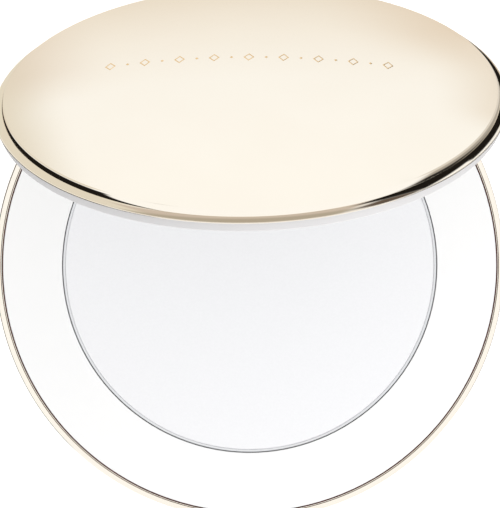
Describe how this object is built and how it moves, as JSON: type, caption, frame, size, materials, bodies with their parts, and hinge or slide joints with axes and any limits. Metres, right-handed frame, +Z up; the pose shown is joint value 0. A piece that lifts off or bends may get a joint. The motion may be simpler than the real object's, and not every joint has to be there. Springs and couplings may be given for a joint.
{
  "type": "powder compact",
  "caption": "Round domed metal powder compact with a friction-hinged lid, inside mirror, white deck and a round pressed-powder pan, shown open.",
  "frame": {"origin": "centre of the flat face of the foot pad that the compact rests on", "axes": "+Z up out of the base towards the lid, +Y towards the hinge at the back, +X to the right"},
  "size_m": [0.08, 0.0841, 0.0839],
  "materials": {
    "gold_plate": "polished, pale gold plating",
    "white_lacquer": "gloss white moulding",
    "white_frame": "satin white moulding",
    "pressed_powder": "smooth pressed translucent powder",
    "pan_metal": "pressed sheet",
    "mirror_glass": "silvered glass",
    "adhesive": "double-sided foam tape",
    "magnet_nickel": "nickel plated magnet",
    "steel_plate": "zinc plated steel",
    "screw_steel": "small countersunk screws",
    "pin_steel": "ground stainless pin",
    "nylon": "natural nylon",
    "spring_bronze": "phosphor bronze sleeve",
    "foot_silicone": "soft translucent pad"
  },
  "bodies": {
    "base": {"base_shell": "gold_plate", "foot_pad": "foot_silicone", "weight_plate": "steel_plate", "base_frame": "white_frame", "base_magnets": "magnet_nickel", "pan_magnet": "magnet_nickel", "powder_pan": "pan_metal", "powder_cake": "pressed_powder", "base_deck": "white_lacquer", "base_hinge_leaf": "gold_plate", "base_hinge_screws": "screw_steel", "hinge_pin": "pin_steel", "hinge_washers": "nylon"},
    "lid": {"lid_shell": "gold_plate", "lid_frame": "white_frame", "mirror": "mirror_glass", "mirror_tape": "adhesive", "lid_magnets": "magnet_nickel", "lid_hinge_leaf": "gold_plate", "lid_hinge_screws": "screw_steel", "friction_sleeve": "spring_bronze"}
  },
  "joints": [
    {"name": "lid_hinge", "type": "hinge", "parent": "base", "child": "lid", "pos_m": [0, 0.0424, 0.0084], "axis": [-1, 0, 0], "range_deg": [-65, 60]}
  ]
}
